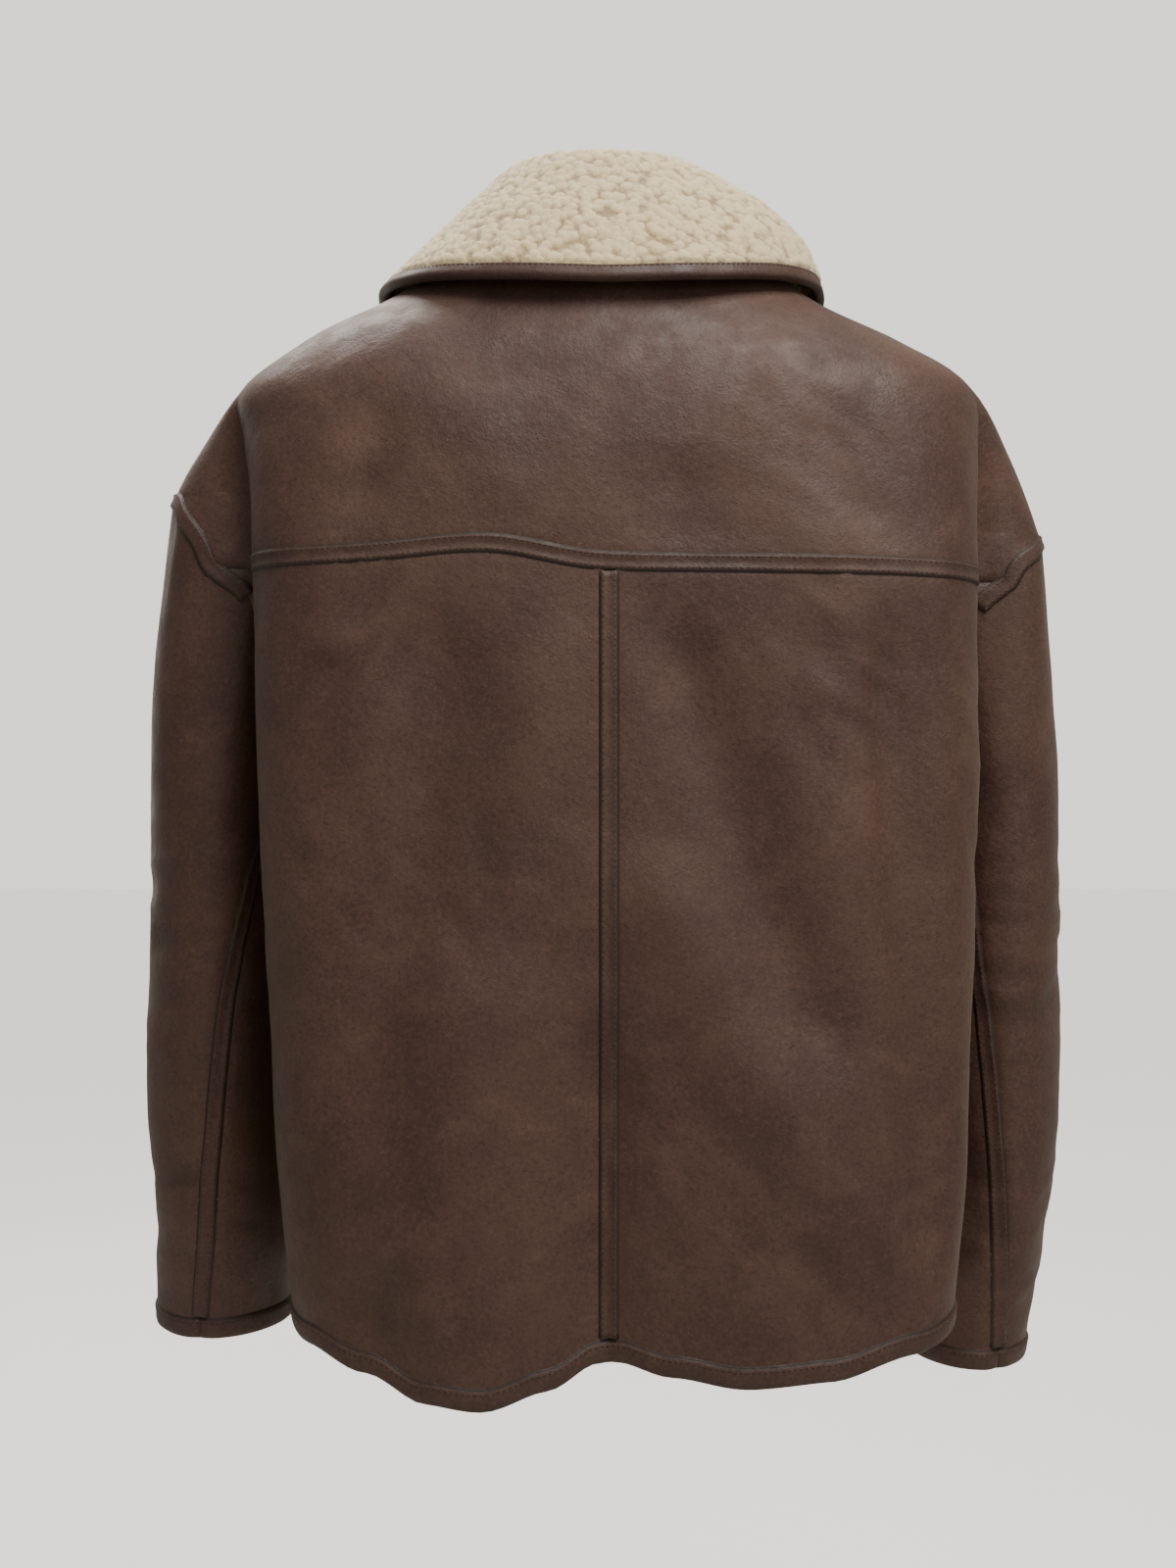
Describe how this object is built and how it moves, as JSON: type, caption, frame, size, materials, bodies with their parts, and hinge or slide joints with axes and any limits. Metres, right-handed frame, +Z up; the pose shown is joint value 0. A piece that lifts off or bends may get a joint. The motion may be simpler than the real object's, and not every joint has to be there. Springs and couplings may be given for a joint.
{
  "type": "sherpa lined jacket",
  "caption": "Boxy dropped-shoulder jacket of bonded brown leather-look cloth, pile inside, with a turned-down pile collar and bound edges, hollow as worn.",
  "frame": {"origin": "middle of the neck at shoulder level, where the wearer's neck and shoulders hold the jacket up", "axes": "+Z up, the front faces -Y, +X is the wearer's left"},
  "size_m": [0.5962, 0.3047, 0.763],
  "materials": {
    "leather_face": "matte grained brown",
    "leather_trim": "matte brown",
    "sherpa_pile": "curly cream pile",
    "button_horn": "satin dark horn"
  },
  "bodies": {
    "root": {"back_yoke": "leather_face", "back_left": "leather_face", "back_right": "leather_face", "front_left": "leather_face", "front_right": "leather_face", "sleeve_left": "leather_face", "sleeve_right": "leather_face", "collar_left": "sherpa_pile", "collar_right": "sherpa_pile", "yoke_strip": "leather_trim", "centre_back_strip": "leather_trim", "armhole_strip_left": "leather_trim", "armhole_strip_right": "leather_trim", "sleeve_strip_left": "leather_trim", "sleeve_strip_right": "leather_trim", "collar_binding": "leather_trim", "hem_binding": "leather_trim", "front_edge_binding": "leather_trim", "cuff_binding_left": "leather_trim", "cuff_binding_right": "leather_trim", "button_1": "button_horn", "button_2": "button_horn", "button_3": "button_horn", "button_4": "button_horn", "button_5": "button_horn"}
  },
  "joints": []
}
